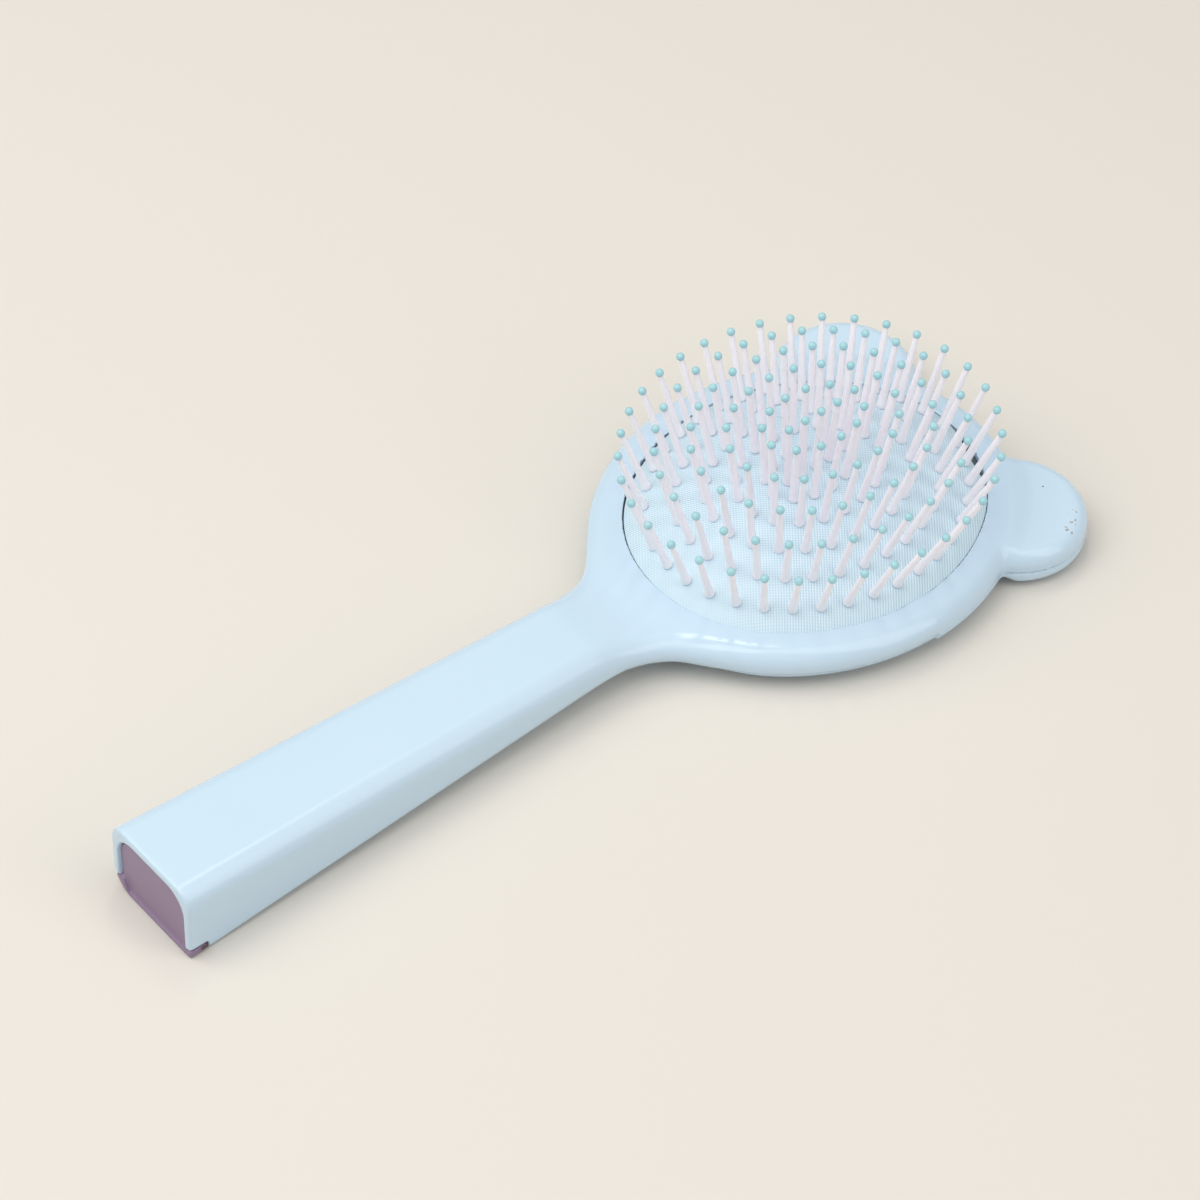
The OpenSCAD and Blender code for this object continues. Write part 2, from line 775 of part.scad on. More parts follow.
module tips_at(spots, z) {
    color(tip_aqua)
        for (spot = spots)
            at_pin(spot, z)
                tip();
}

front_frame();
back_cover();
mirror();
mirror_tape();
cushion();
cushion_base();
cover_screws();
handle_plug();
pins_at(ring_spots(0), ring_z(0));  // pins_ring_1
pins_at(ring_spots(1), ring_z(1));  // pins_ring_2
pins_at(ring_spots(2), ring_z(2));  // pins_ring_3
pins_at(ring_spots(3), ring_z(3));  // pins_ring_4
pins_at(ring_spots(4), ring_z(4));  // pins_ring_5
pins_at(row_spots, row_z);  // pins_row
tips_at(ring_spots(0), ring_z(0));  // tips_ring_1
tips_at(ring_spots(1), ring_z(1));  // tips_ring_2
tips_at(ring_spots(2), ring_z(2));  // tips_ring_3
tips_at(ring_spots(3), ring_z(3));  // tips_ring_4
tips_at(ring_spots(4), ring_z(4));  // tips_ring_5
tips_at(row_spots, row_z);  // tips_row
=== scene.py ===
# An oval cushion hairbrush with two round ears, lying on its back with the pins up.
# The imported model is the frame: every piece is drawn where the solids are, in metres.
import math

import bmesh
import bpy
import numpy as np
from mathutils import Matrix, Vector


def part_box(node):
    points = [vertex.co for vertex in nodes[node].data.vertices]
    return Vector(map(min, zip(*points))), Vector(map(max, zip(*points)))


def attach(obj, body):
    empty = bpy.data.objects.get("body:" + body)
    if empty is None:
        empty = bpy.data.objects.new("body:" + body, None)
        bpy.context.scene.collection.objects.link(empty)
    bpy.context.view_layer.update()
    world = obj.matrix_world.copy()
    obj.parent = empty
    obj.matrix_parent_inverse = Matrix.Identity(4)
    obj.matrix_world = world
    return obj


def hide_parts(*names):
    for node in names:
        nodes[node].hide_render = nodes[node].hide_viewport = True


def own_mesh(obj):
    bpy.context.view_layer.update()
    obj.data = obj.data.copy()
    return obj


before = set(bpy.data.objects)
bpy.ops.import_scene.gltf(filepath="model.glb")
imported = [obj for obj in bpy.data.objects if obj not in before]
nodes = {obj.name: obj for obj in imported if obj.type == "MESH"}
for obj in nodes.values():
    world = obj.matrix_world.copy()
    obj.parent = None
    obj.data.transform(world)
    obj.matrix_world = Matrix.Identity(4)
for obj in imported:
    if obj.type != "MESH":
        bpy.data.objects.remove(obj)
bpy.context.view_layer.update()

MM = 0.001

# The camera stands in front of the brush, to the left of its handle, and looks down at the pins.
# Its place and its long lens come from the photograph's own perspective.
camera_at = Vector((-0.40667, -0.46499, 0.66887))
camera_right = Vector((0.76999, -0.63740, 0.02874))
camera_up = Vector((0.44715, 0.57120, 0.68832))
camera_data = bpy.data.cameras.new("camera")
camera_data.sensor_width = 36
camera_data.lens = 135.08
camera_data.clip_end = 20
camera = bpy.data.objects.new("camera", camera_data)
camera_back = camera_right.cross(camera_up)
camera.matrix_world = Matrix.Translation(camera_at) @ Matrix(
    (camera_right, camera_up, camera_back)).transposed().to_4x4()
bpy.context.scene.collection.objects.link(camera)
bpy.context.scene.camera = camera


# The floor is a sheet of matt pale paper with a fine grain, wide enough to fill every view.
def linear(hex_colour):
    """An sRGB hex colour as the linear colour that a shader takes."""
    channels = [int(hex_colour[i:i + 2], 16) / 255 for i in (1, 3, 5)]
    return [c / 12.92 if c < 0.04045 else ((c + 0.055) / 1.055) ** 2.4 for c in channels] + [1.0]


def add(tree, kind, inputs=None, **settings):
    """Adds one node to a tree, with its settings, and its inputs as values or links."""
    node = tree.nodes.new(kind)
    for name, value in settings.items():
        setattr(node, name, value)
    for socket, value in (inputs or {}).items():
        if isinstance(value, bpy.types.NodeSocket):
            tree.links.new(value, node.inputs[socket])
        else:
            node.inputs[socket].default_value = value
    return node


def material(name):
    """An empty node material, and its tree."""
    made = bpy.data.materials.new(name)
    made.use_nodes = True
    made.node_tree.nodes.clear()
    return made, made.node_tree


def link_mesh(name, mesh, finish):
    """An object at the origin that shows a mesh in one finish."""
    mesh.materials.append(finish)
    made = bpy.data.objects.new(name, mesh)
    bpy.context.scene.collection.objects.link(made)
    return made


matt_paper, tree = material("matt_paper")
paper_grain = add(tree, "ShaderNodeTexNoise", {"Scale": 900.0, "Detail": 3.0,
                  "Vector": add(tree, "ShaderNodeTexCoord").outputs["Object"]})
bump = add(tree, "ShaderNodeBump", {"Strength": 0.05, "Distance": 0.2 * MM,
           "Height": paper_grain.outputs["Fac"]})
sheet = add(tree, "ShaderNodeBsdfPrincipled", {"Base Color": linear("#E3DED6"), "Roughness": 0.9,
            "Normal": bump.outputs["Normal"]})
add(tree, "ShaderNodeOutputMaterial", {"Surface": sheet.outputs["BSDF"]})

floor_half = 3.0
floor_mesh = bpy.data.meshes.new("floor")
floor_mesh.from_pydata([(-floor_half, -floor_half, 0), (floor_half, -floor_half, 0),
                        (floor_half, floor_half, 0), (-floor_half, floor_half, 0)], [], [(0, 1, 2, 3)])
floor = link_mesh("floor", floor_mesh, matt_paper)


# One large soft lamp stands to the left of the head and above it, so the pins' shadows fall to the
# right. A tall panel over the near side lays a light band along the rounded edges, and a narrow one
# behind and above is the window that glints on the rim, broken by the pins in front of it.
def lamp(name, place, target, size, power, colour):
    """A rectangular lamp that faces its target."""
    data = bpy.data.lights.new(name, "AREA")
    data.shape = "RECTANGLE"
    data.size, data.size_y = size
    data.energy = power
    data.color = linear(colour)[:3]
    made = bpy.data.objects.new(name, data)
    made.location = place
    made.rotation_euler = (Vector(target) - Vector(place)).to_track_quat("-Z", "Y").to_euler()
    bpy.context.scene.collection.objects.link(made)
    return made


head_at = Vector((0.058, 0.0, 0.01))
lamp("left_window", (-0.52, 0.25, 0.97), head_at, (1.15, 1.15), 9.0, "#FFFDF8")
lamp("near_panel", (0.27, -0.68, 0.86), (-0.02, 0, 0), (0.6, 1.7), 4.3, "#FFFAF4")
lamp("back_window", (0.341, 0.4, 1.088), (0.017, -0.014, 0.009), (0.16, 0.45), 1.05, "#FFFBE8")

world = bpy.data.worlds.new("studio")
bpy.context.scene.world = world
world.use_nodes = True
world.node_tree.nodes.clear()
sky = add(world.node_tree, "ShaderNodeBackground", {"Color": linear("#EEF1F5"), "Strength": 0.46})
add(world.node_tree, "ShaderNodeOutputWorld", {"Surface": sky.outputs["Background"]})
bpy.context.scene.view_settings.view_transform = "Standard"


# The front moulding is one piece of glossy ABS: the ring round the cushion, the front half of both
# ears and the hollow handle. The real piece flows from part to part in one skin, so it is drawn as a
# plate with a blended outline, in millimetres from the middle of the head.
handle_reach = 166.0
head_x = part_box("front_frame")[0].x / MM + handle_reach

# The cushion's opening is an oval of four tangent arcs, which meet where the normal leans 3 to 4.
# The ring round it has a large outer rounding, and its lip hangs over the rubber's edge.
open_a, open_b = 39.7, 34.4
meet_x, meet_y = 0.6, 0.8
centre_step = (open_a - open_b) / (meet_x + meet_y - 1)
end_x, side_y = meet_x * centre_step, meet_y * centre_step
end_r = open_a - end_x
side_r = end_r + centre_step
rim_w = 6.95
rim_top, rim_back = 10.3, 2.5
rim_round_front, rim_round_back = 4.4, 3.3
lip_t, lip_round, ledge_w = 1.6, 0.7, 2.6

# The front and the back of the head part low on the side, with a seam that catches a fine shadow.
parting = 4.6
seam, seam_edge = 0.025, 0.05

# The ears are round discs, a little thinner than the ring.
ear_reach, ear_angle, ear_r = 43.5, math.radians(37.3), 15.4
ear_x, ear_y = ear_reach * math.cos(ear_angle), ear_reach * math.sin(ear_angle)
ear_top, ear_back = 9.4, 1.1
ear_round_front, ear_round_rear = 3.4, 2.2
ear_fillet = 3.0
edge_change_in, edge_change_over = 2, 5

# The handle is a hollow box that tapers towards the neck, where it turns down into the ring.
end_half_w, end_h = 12.5, 17.6
neck_half_w, neck_h = 10.2, 9.3
neck_x, neck_root = -54.8, -20
neck_turn_from, neck_turn_to = -64.0, -45.5
neck_sill = 4.1
neck_fillet = 24.0
end_round, neck_round = 4.0, 4.6
rear_round_end, rear_round_neck = 0.9, 4.2
end_edge, end_lip_round = 1.3, 0.9
far_corner = 6.0
handle_wall, hollow_round, hollow_round_rear = 2.0, 5.0, 0.6
hollow_shown = 7.0

# Its end takes the plug, whose heel replaces the rear wall and wraps up round both lower corners,
# from a distance off the middle and over a width.
plug_inset, plug_t = 0.7, 1.6
heel_h, heel_len, heel_edge = 0.9, 4.5, 0.3
near_wrap, near_from, near_over = 1.3, 8.5, 3
far_wrap, far_from, far_over = 2.6, 7.5, 2


def mix(a, b, t):
    """The value a share t of the way from a to b."""
    return a + (b - a) * t


def ease(t):
    """A smooth step from 0 to 1."""
    t = np.clip(t, 0, 1)
    return t * t * (3 - 2 * t)


def from_edge(x, y):
    """Distance out from the opening's edge, an oval of four tangent arcs."""
    ax, ay = np.abs(x), np.abs(y)
    at_end = (ax - end_x) * meet_y >= ay * meet_x
    return np.where(at_end, np.hypot(ax - end_x, ay) - end_r, np.hypot(ax, ay + side_y) - side_r)


def blend_min(a, b, k):
    """The nearer of two fields, with a fillet of about half of k where they meet."""
    h = np.maximum(k - np.abs(a - b), 0) / k
    return np.minimum(a, b) - h * h * h * k / 6


def blend_max(a, b, k):
    """The further of two fields, with the edge between them rounded in the same way."""
    return -blend_min(-a, -b, k)


def slab(out, z, low, high, r_front, r_rear):
    """A plate between two heights, whose outline is where out is 0, with both its edges rounded."""
    half = (high - low) / 2
    r = np.minimum(np.where(z > (low + high) / 2, r_front, r_rear), half - 0.05)
    u, v = out + r, np.abs(z - (low + high) / 2) - half + r
    return np.minimum(np.maximum(u, v), 0) + np.hypot(np.maximum(u, 0), np.maximum(v, 0)) - r


def handle_sizes(x, y):
    """Half width, rear and front heights and edge radii of the handle at a distance along it. The far
    corner of its underside is rounder than the near one."""
    t = (x + handle_reach) / (neck_x + handle_reach)
    half_h = mix(end_h, neck_h, t) / 2
    turn = ease((x - neck_turn_from) / (neck_turn_to - neck_turn_from))
    low = mix(end_h / 2 - half_h, neck_sill, turn)
    high = mix(end_h / 2 + half_h, rim_top, turn)
    capped = np.clip(t, 0, 1)
    return (mix(end_half_w, neck_half_w, t), low, high, mix(end_round, neck_round, capped),
            mix(np.where(y > 0, far_corner, rear_round_end), rear_round_neck, capped))


def heel_top(y):
    """Height of the plug's heel, across the handle."""
    return (heel_h + near_wrap * ease((-y - near_from) / near_over)
            + far_wrap * ease((y - far_from) / far_over))


def ears_plan(x, y):
    """Distance out from the nearer ear's outline."""
    return np.hypot(x - ear_x, np.abs(y) - ear_y) - ear_r


def head_plate(x, y, z, with_handle):
    """The ring and the ears as one rounded plate, with or without the handle."""
    out = plan = from_edge(x, y) - rim_w
    half_w, low, high, r_front, r_rear = handle_sizes(x, y)
    if with_handle:
        plan = blend_min(plan, np.maximum(np.abs(y) - half_w, x - neck_root), neck_fillet)
    plan = blend_min(plan, ears_plan(x, y), ear_fillet)
    beyond = ease((out + edge_change_in) / edge_change_over)
    ear_side = x > 0
    low = mix(rim_back, np.where(ear_side, ear_back, low), beyond)
    high = mix(rim_top, np.where(ear_side, ear_top, high), beyond)
    r_front = mix(rim_round_front, np.where(ear_side, ear_round_front, r_front), beyond)
    r_rear = mix(rim_round_back, np.where(ear_side, ear_round_rear, r_rear), beyond)
    return slab(plan, z, low, high, r_front, r_rear)


def moulding_field(x, y, z):
    """The front moulding: a solid where it is below 0, cut out by the opening, the groove under the
    lip, the room of the back cover, and the hollow and seat of the handle's end."""
    out = from_edge(x, y)
    whole = blend_max(head_plate(x, y, z, True), -handle_reach - x, end_edge)
    whole = blend_max(whole, -out, lip_round)
    under_lip = np.maximum(out - ledge_w, z - (rim_top - lip_t))
    cover_room = np.maximum(np.minimum(out - rim_w, ears_plan(x, y)) - seam, z - parting)
    whole = blend_max(np.maximum(whole, -under_lip), -cover_room, seam_edge)
    half_w, low, high, _, _ = handle_sizes(x, y)
    side, roof = np.abs(y) - half_w + handle_wall, high - handle_wall
    hollow = np.maximum(slab(side, z, low + handle_wall, roof, hollow_round, hollow_round_rear),
                        x + handle_reach - hollow_shown)
    seat = np.maximum(slab(side, z, low - 1, roof, hollow_round, hollow_round_rear),
                      x + handle_reach - plug_inset - plug_t)
    heel_room = np.maximum(z - heel_top(y), x + handle_reach - heel_len)
    whole = blend_max(whole, -np.minimum(hollow, seat), end_lip_round)
    return blend_max(whole, -heel_room, heel_edge)


def field_slope(field, points, reach=0.02):
    """How much the field grows per millimetre along each axis."""
    steps = reach * np.eye(3)
    return np.stack([field(*(points + steps[i]).T) - field(*(points - steps[i]).T) for i in range(3)],
                    1) / (2 * reach)


def field_mesh(name, field, low, high, step, rounds=6, sharp=38, blunt=14):
    """A closed mesh of a field's zero: one point in each cell that the skin crosses, one face for
    each crossed edge, then points slid level and pulled onto the skin. Away from sharp edges, where
    the two differ by less than the blunt angle, the normals are the field's own slope, so that a
    reflection runs over the skin unbroken."""
    axes = [np.arange(low[i], high[i] + step, step) for i in range(3)]
    value = field(*np.meshgrid(*axes, indexing="ij")).astype(np.float32)
    inside = value < 0
    shape = [n - 1 for n in value.shape]
    total = np.zeros(shape + [3], np.float32)
    count = np.zeros(shape, np.int32)
    crossings = []
    for axis in range(3):
        first = [slice(None)] * 3
        last = [slice(None)] * 3
        first[axis], last[axis] = slice(0, -1), slice(1, None)
        a, b = value[tuple(first)], value[tuple(last)]
        hit = (a < 0) != (b < 0)
        where = np.argwhere(hit)
        share = a[hit] / (a[hit] - b[hit])
        crossings.append((axis, where, inside[tuple(first)][hit]))
        point = where.astype(np.float32)
        point[:, axis] += share
        others = [i for i in range(3) if i != axis]
        for du in (0, 1):
            for dv in (0, 1):
                cell = where.copy()
                cell[:, others[0]] -= du
                cell[:, others[1]] -= dv
                good = np.all((cell >= 0) & (cell < shape), axis=1)
                at = tuple(cell[good].T)
                np.add.at(total, at, point[good])
                np.add.at(count, at, 1)
    used = count > 0
    number = np.full(shape, -1, np.int64)
    number[used] = np.arange(used.sum())
    points = total[used] / count[used][:, None] * step + np.array([a[0] for a in axes], np.float32)
    faces = []
    for axis, where, first_inside in crossings:
        u, v = [(1, 2), (2, 0), (0, 1)][axis]
        ring = []
        for du, dv in ((0, 0), (-1, 0), (-1, -1), (0, -1)):
            cell = where.copy()
            cell[:, u] += du
            cell[:, v] += dv
            ring.append(cell)
        good = np.all([np.all((c >= 0) & (c < shape), axis=1) for c in ring], axis=0)
        quad = np.stack([number[tuple(c[good].T)] for c in ring], 1)
        inward = ~first_inside[good]
        quad[inward] = quad[inward][:, ::-1]
        faces.append(quad)
    faces = np.concatenate(faces)
    points = points.astype(np.float64)
    pairs = np.concatenate([faces[:, [i, (i + 1) % 4]] for i in range(4)])
    degree = np.bincount(pairs.ravel(), minlength=len(points))
    for turn in range(rounds):
        if turn < rounds - 2:
            mean = np.stack([np.bincount(pairs[:, 0], points[pairs[:, 1], i], len(points))
                             + np.bincount(pairs[:, 1], points[pairs[:, 0], i], len(points))
                             for i in range(3)], 1) / degree[:, None]
            points += 0.5 * (mean - points)
        here = field(*points.T)
        slope = field_slope(field, points)
        size = np.maximum(np.einsum("ij,ij->i", slope, slope), 0.05)
        shift = -(here / size)[:, None] * slope
        length = np.linalg.norm(shift, axis=1)
        points += shift * np.minimum(1, 0.5 * step / np.maximum(length, 1e-9))[:, None]
    mesh = bpy.data.meshes.new(name)
    mesh.from_pydata(((points + [head_x, 0, 0]) * MM).tolist(), [], faces.tolist())
    mesh.update()
    mesh.shade_smooth()
    mesh.set_sharp_from_angle(angle=math.radians(sharp))
    slope = field_slope(field, points)
    slope /= np.maximum(np.linalg.norm(slope, axis=1), 1e-9)[:, None]
    exact = slope[faces.ravel()]
    corner = np.empty(len(mesh.loops) * 3, np.float32)
    mesh.corner_normals.foreach_get("vector", corner)
    corner = corner.reshape(-1, 3)
    close = np.einsum("ij,ij->i", exact, corner) > math.cos(math.radians(blunt))
    mesh.normals_split_custom_set(np.where(close[:, None], exact, corner).tolist())
    return mesh


# Moulded ABS in pale aqua. Its own colour is even, its gloss is slightly broken by handling, and the
# skin ripples a little where the plastic shrank, which makes the highlights soft-edged. Roughness
# stays under 0.27 all over it, because a denoiser draws an edge where it passes that.
def moulded_plastic(name, colour, shade, roughness, ripple_height=0.003, marks=(), worn=0.0):
    """Moulded plastic: a faint cloud in the colour, a ripple of some 15 mm and fine handling wear,
    with that much more roughness along the handle, where the hand rubs it.
    A mark is a place, a reach, a density and a colour: specks of it, denser towards the place."""
    made, tree = material(name)
    place = add(tree, "ShaderNodeTexCoord").outputs["Object"]
    cloud = add(tree, "ShaderNodeTexNoise", {"Vector": place, "Scale": 30.0, "Detail": 2.0})
    colour_now = add(tree, "ShaderNodeMix", {"Factor": cloud.outputs["Fac"], "A": linear(colour),
                     "B": linear(shade)}, data_type="RGBA").outputs["Result"]
    rubbed = add(tree, "ShaderNodeTexNoise", {"Vector": place, "Scale": 90.0, "Detail": 2.0})
    specks = add(tree, "ShaderNodeTexNoise", {"Vector": place, "Scale": 1300.0, "Detail": 2.0})
    for spot, reach, density, mark_colour in marks:
        away = add(tree, "ShaderNodeVectorMath", {0: place, 1: spot}, operation="DISTANCE")
        near = add(tree, "ShaderNodeMapRange", {"Value": away.outputs["Value"], "From Max": reach,
                   "To Min": density, "To Max": -0.4})
        torn = add(tree, "ShaderNodeMath", {0: specks.outputs["Fac"], 1: near.outputs["Result"]})
        seen = add(tree, "ShaderNodeMapRange", {"Value": torn.outputs["Value"], "From Min": 0.66,
                   "From Max": 0.72, "To Max": 0.85})
        colour_now = add(tree, "ShaderNodeMix", {"Factor": seen.outputs["Result"], "A": colour_now,
                         "B": linear(mark_colour)}, data_type="RGBA").outputs["Result"]
    gloss = add(tree, "ShaderNodeMapRange", {"Value": rubbed.outputs["Fac"], "From Min": 0.3,
                "From Max": 0.75, "To Min": roughness - 0.02, "To Max": roughness + 0.02})
    along = add(tree, "ShaderNodeSeparateXYZ", {"Vector": place}).outputs["X"]
    held = add(tree, "ShaderNodeMapRange", {"Value": along, "From Min": -0.02, "From Max": 0.015,
               "To Min": worn, "To Max": 0.0})
    gloss = add(tree, "ShaderNodeMath", {0: gloss.outputs["Result"], 1: held.outputs["Result"]})
    ripple = add(tree, "ShaderNodeTexNoise", {"Vector": place, "Scale": 65.0, "Detail": 1.0})
    bump = add(tree, "ShaderNodeBump", {"Strength": 1.0, "Distance": ripple_height * MM,
               "Height": ripple.outputs["Fac"]})
    skin = add(tree, "ShaderNodeBsdfPrincipled", {"Base Color": colour_now, "IOR": 1.52,
               "Roughness": gloss.outputs["Value"], "Normal": bump.outputs["Normal"]})
    add(tree, "ShaderNodeOutputMaterial", {"Surface": skin.outputs["BSDF"]})
    return made


def on_head(x, y, z):
    """A place in metres, given in millimetres from the middle of the head."""
    return (head_x + x) * MM, y * MM, z * MM


# Near its tip the near ear carries a trail of brown scuffs, and further in one dark speck.
ear_marks = [(on_head(38.2, -38.3, 9.0), 3.2 * MM, 0.26, "#A4836B"),
             (on_head(40.6, -37.6, 9.0), 3.6 * MM, 0.2, "#A98A74"),
             (on_head(42.6, -35.4, 9.1), 4.0 * MM, 0.16, "#BBA08A"),
             (on_head(42.8, -26.2, 9.3), 0.55 * MM, 0.5, "#4A4340")]
moulded_aqua_abs = moulded_plastic("moulded_aqua_abs", "#CDE4F5", "#C8E0F2", 0.1, marks=ear_marks,
                                   worn=0.14)
moulding_mesh = field_mesh("front_moulding", moulding_field, (-167.5, -43.5, -1.0), (52.0, 43.5, 19.0),
                           0.55)
moulding = link_mesh("front_moulding", moulding_mesh, moulded_aqua_abs)
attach(moulding, "brush")
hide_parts("front_frame")

# The back cover is the other half of the head, moulded in the same ABS. It carries on the ring's and
# the ears' rounding below a fine seam, and a low bezel on its floor frames the mirror.
mirror_r, mirror_gap = 30.6, 0.35
bezel_w, bezel_h, bezel_round, bezel_foot = 2.6, 1.0, 1.1, 0.8
cover_floor_t, cover_wall_t = 1.6, 1.62


def cover_field(x, y, z):
    """The back cover: a dish with the bezel standing down from its floor."""
    whole = blend_max(head_plate(x, y, z, False), z - parting + seam, seam_edge)
    cavity = np.maximum(from_edge(x, y) - rim_w + cover_wall_t, rim_back + cover_floor_t - z)
    middle = mirror_r + mirror_gap + bezel_w / 2
    off_middle = np.abs(np.hypot(x, y) - middle)
    bezel = slab(off_middle - bezel_w / 2, z, 0.0, rim_back + bezel_h, 0.5, bezel_round)
    return blend_min(np.maximum(whole, -cavity), bezel, bezel_foot)


cover_mesh = field_mesh("rear_moulding", cover_field, (-48.0, -43.5, -1.0), (52.0, 43.5, 6.0), 0.5)
cover = link_mesh("rear_moulding", cover_mesh, moulded_aqua_abs)
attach(cover, "brush")
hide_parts("back_cover")


# The mirror is a round of silvered glass with a ground edge. Its back and edge are grey with the
# paint that guards the silver, and finger smudges cloud its sharp reflection here and there.
def finish_node(node, finish):
    """Shows a solid of the model as it is, in one finish."""
    nodes[node].data.materials.clear()
    nodes[node].data.materials.append(finish)


silvered_glass, tree = material("silvered_glass")
place = add(tree, "ShaderNodeTexCoord").outputs["Object"]
smudge = add(tree, "ShaderNodeTexNoise", {"Vector": place, "Scale": 90.0, "Detail": 3.0})
haze = add(tree, "ShaderNodeMapRange", {"Value": smudge.outputs["Fac"], "From Min": 0.45, "From Max": 0.8,
           "To Min": 0.015, "To Max": 0.09})
silver = add(tree, "ShaderNodeBsdfPrincipled", {"Base Color": linear("#E4E9EA"), "Metallic": 1.0,
             "Roughness": haze.outputs["Result"]})
paint = add(tree, "ShaderNodeBsdfPrincipled", {"Base Color": linear("#8E9698"), "Roughness": 0.5})
shape = add(tree, "ShaderNodeNewGeometry").outputs
facing = add(tree, "ShaderNodeSeparateXYZ", {"Vector": shape["Normal"]})
is_face = add(tree, "ShaderNodeMath", {0: facing.outputs["Z"], 1: -0.5}, operation="LESS_THAN")
mirror_skin = add(tree, "ShaderNodeMixShader", {0: is_face.outputs["Value"], 1: paint.outputs["BSDF"],
                  2: silver.outputs["BSDF"]})
add(tree, "ShaderNodeOutputMaterial", {"Surface": mirror_skin.outputs["Shader"]})
finish_node("mirror", silvered_glass)

# A disc of white closed-cell foam tape holds the mirror. It is matt, and cells of 0.4 mm pit its edge.
closed_cell_foam, tree = material("closed_cell_foam")
place = add(tree, "ShaderNodeTexCoord").outputs["Object"]
cell_size = 0.4 * MM
cells = add(tree, "ShaderNodeTexVoronoi", {"Vector": place, "Scale": 1 / cell_size})
foam_tint = add(tree, "ShaderNodeMix", {"Factor": cells.outputs["Distance"], "A": linear("#C9C5BB"),
                "B": linear("#E2DFD6")}, data_type="RGBA")
bump = add(tree, "ShaderNodeBump", {"Strength": 0.6, "Distance": 0.1 * MM,
           "Height": cells.outputs["Distance"]})
foam = add(tree, "ShaderNodeBsdfPrincipled", {"Base Color": foam_tint.outputs["Result"], "Roughness": 0.9,
           "Normal": bump.outputs["Normal"]})
add(tree, "ShaderNodeOutputMaterial", {"Surface": foam.outputs["BSDF"]})
finish_node("mirror_tape", closed_cell_foam)

# The base plate closes the air chamber under the rubber. It is moulded in pale polypropylene, which
# looks waxy and slightly cloudy.
moulded_polypropylene = moulded_plastic("moulded_polypropylene", "#D9E5EB", "#CDDAE2", 0.5, 0.03)
finish_node("cushion_base", moulded_polypropylene)

# Six zinc-plated steel screws draw the back cover and the base plate together. The plating has a dull
# shine with faint spangles.
zinc_plated_steel, tree = material("zinc_plated_steel")
place = add(tree, "ShaderNodeTexCoord").outputs["Object"]
spangle_size = 0.5 * MM
spangle = add(tree, "ShaderNodeTexVoronoi", {"Vector": place, "Scale": 1 / spangle_size})
zinc_tint = add(tree, "ShaderNodeMix", {"Factor": spangle.outputs["Distance"], "A": linear("#AEB3B8"),
                "B": linear("#CFD3D6")}, data_type="RGBA")
zinc = add(tree, "ShaderNodeBsdfPrincipled", {"Base Color": zinc_tint.outputs["Result"], "Metallic": 1.0,
           "Roughness": 0.35})
add(tree, "ShaderNodeOutputMaterial", {"Surface": zinc.outputs["BSDF"]})
finish_node("cover_screws", zinc_plated_steel)

# The end plug is a satin mauve moulding pressed into the handle. Its face stands just inside the
# rim, and its heel takes the place of the rear wall, so its colour reaches the very edge there.
plug_gap = 0.12
plug_skirt, skirt_start = 7.0, 0.5
face_edge, face_round, face_lap = 0.7, 0.6, 0.5
heel_corner, heel_front_round, heel_rise = 2.0, 0.9, 1.3


def plug_field(x, y, z):
    """The plug: a face plate with a skirt behind it, and the heel that rises smoothly from it."""
    half_w, low, high, _, r_rear = handle_sizes(x, y)
    inset = handle_wall + plug_gap
    side = np.abs(y) - half_w
    face_x = plug_inset - handle_reach
    plug_round = hollow_round - plug_gap
    plate = slab(side + inset, z, low + heel_h - face_lap, high - inset, plug_round, face_round)
    plate = blend_max(np.maximum(plate, x - face_x - plug_t + plug_gap), face_x - x, face_edge)
    skirt = slab(side + inset, z, low + inset, high - inset, plug_round, face_round)
    skirt = np.maximum(skirt, np.maximum(face_x + skirt_start - x, x - face_x - plug_skirt))
    outer = slab(side, z, low, high, heel_corner, r_rear)
    heel = np.maximum(z - heel_top(y) + plug_gap, x + handle_reach - heel_len + plug_gap)
    heel = blend_max(np.maximum(heel, outer), -handle_reach - x, heel_front_round)
    whole = blend_min(np.minimum(plate, skirt), heel, heel_rise)
    return np.maximum(whole, np.maximum(outer, -handle_reach - x))


# Mauve ABS with a satin texture, which spreads the light evenly over the face. A dark brown mark
# sits on the heel's near corner.
heel_dark_mark = [(on_head(-161.9, -12.4, 1.2), 4.5 * MM, 0.5, "#43292C")]
satin_mauve_abs = moulded_plastic("satin_mauve_abs", "#947E9B", "#8B7691", 0.38, 0.02, marks=heel_dark_mark)
plug_mesh = field_mesh("end_plug", plug_field, (-167.0, -13.5, -1.0), (-157.0, 13.5, 16.5), 0.3)
plug = link_mesh("end_plug", plug_mesh, satin_mauve_abs)
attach(plug, "brush")
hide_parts("handle_plug")

# The cushion is a domed membrane of soft rubber over an air chamber. Its skin dips a little where it
# tucks under the ring's lip, and its flange is clamped below the lip by the base plate. The rings of
# the mesh lie closer to each other towards the lip.
dome_h, rubber_t, flange_t = 9.2, 1.2, 1.4
tuck_w, tuck_dip = 2.6, 0.45
steps_round, steps_in, crowding = 240, 44, 1.4


def dome_height(inset):
    """Height of the skin at a distance in from the opening's edge."""
    tuck = np.maximum(0, 1 - inset / tuck_w)
    return rim_top + dome_h * (1 - (1 - inset / open_b) ** 2) - tuck_dip * tuck ** 2


turn = np.linspace(0, 2 * np.pi, steps_round, endpoint=False)
lip_reach = np.full(steps_round, open_b)
for _ in range(12):
    lip_reach -= from_edge(lip_reach * np.cos(turn), lip_reach * np.sin(turn))
